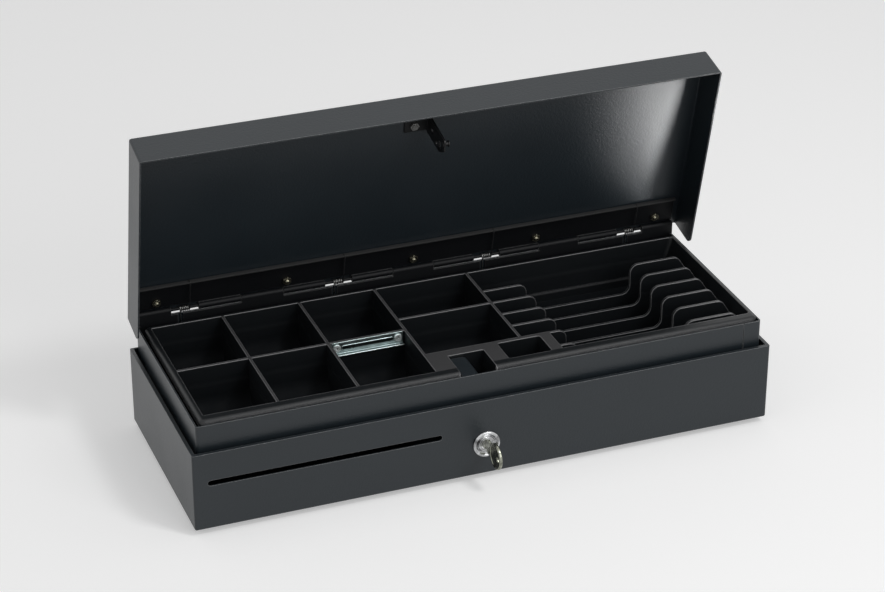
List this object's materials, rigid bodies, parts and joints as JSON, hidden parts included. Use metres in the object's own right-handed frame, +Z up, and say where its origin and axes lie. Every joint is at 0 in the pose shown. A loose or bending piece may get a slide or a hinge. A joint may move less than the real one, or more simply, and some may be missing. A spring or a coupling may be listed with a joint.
{
  "type": "flip-top cash drawer",
  "caption": "Slim steel flip-top cash drawer, lid open on a piano hinge, with a black coin and bill tray, front media slot, key lock and solenoid latch.",
  "frame": {"origin": "on the ground, at the underside of the rubber feet, under the middle of the open drawer's overall outline with its key", "axes": "+X along the front to the right as seen by the user, +Y from the front to the hinge, +Z up"},
  "size_m": [0.46, 0.2016, 0.2599],
  "materials": {
    "charcoal_paint": "satin",
    "hinge_paint": "satin",
    "black_plastic": "satin",
    "zinc": "satin",
    "black_steel": "satin",
    "chrome": "gloss",
    "steel": "satin",
    "nickel": "gloss",
    "coil_tape": "matte",
    "rubber": "matte"
  },
  "bodies": {
    "case": {"case_shell": "charcoal_paint", "collar_frame": "charcoal_paint", "tray_rail_left": "zinc", "tray_rail_right": "zinc", "base_hinge_leaf": "hinge_paint", "base_leaf_rivets": "zinc", "hinge_pin": "steel", "hinge_spring_1": "steel", "hinge_spring_2": "steel", "hinge_spring_3": "steel", "hinge_spring_4": "steel", "latch_bracket": "zinc", "latch_pivot_pin": "steel", "bracket_screws": "zinc", "solenoid_frame": "zinc", "solenoid_coil": "coil_tape", "solenoid_core": "steel", "solenoid_screws": "zinc", "plunger_spring": "steel", "lock_housing": "chrome", "lock_nut": "steel", "foot_screws": "zinc", "rubber_foot_1": "rubber", "rubber_foot_2": "rubber", "rubber_foot_3": "rubber", "rubber_foot_4": "rubber", "cable_socket": "black_plastic", "socket_screws": "zinc"},
    "lid": {"lid_shell": "charcoal_paint", "lid_hinge_leaf": "hinge_paint", "lid_leaf_nuts": "zinc", "striker_bracket": "black_steel", "striker_nut": "zinc", "striker_pin": "zinc"},
    "tray": {"cash_tray": "black_plastic", "divider_clip": "zinc", "clip_eyelets": "zinc"},
    "lever": {"latch_lever": "zinc"},
    "plunger": {"solenoid_plunger": "steel", "link_pin": "steel"},
    "plug": {"lock_plug": "chrome", "lock_cam": "zinc", "cam_screw": "zinc"},
    "key": {"key": "nickel"}
  },
  "joints": [
    {"name": "lid_swing", "type": "hinge", "parent": "case", "child": "lid", "pos_m": [0, 0.09667, 0.0963], "axis": [-1, 0, 0], "range_deg": [-77, 0], "stiffness_Nm_per_rad": 0.9, "springref_deg": 40.11, "deforming": ["hinge_spring_1", "hinge_spring_2", "hinge_spring_3", "hinge_spring_4"]},
    {"name": "tray_lift", "type": "slide", "parent": "case", "child": "tray", "axis": [0, 0, 1], "range_m": [0, 0.045]},
    {"name": "latch_swing", "type": "hinge", "parent": "case", "child": "lever", "pos_m": [0.0045, -0.03783, 0.04], "axis": [1, 0, 0], "range_deg": [0, 8]},
    {"name": "plunger_slide", "type": "slide", "parent": "case", "child": "plunger", "axis": [0, 0, 1], "range_m": [0, 0.003], "deforming": ["plunger_spring"]},
    {"name": "key_turn", "type": "hinge", "parent": "case", "child": "plug", "pos_m": [-0.004, -0.07083, 0.031], "axis": [0, 1, 0], "range_deg": [0, 90]},
    {"name": "key_pull", "type": "slide", "parent": "plug", "child": "key", "axis": [0, -1, 0], "range_m": [0, 0.03]}
  ],
  "couplings": [
    {"joint": "plunger_slide", "follows": "latch_swing", "m_per_rad": 0.020932}
  ]
}
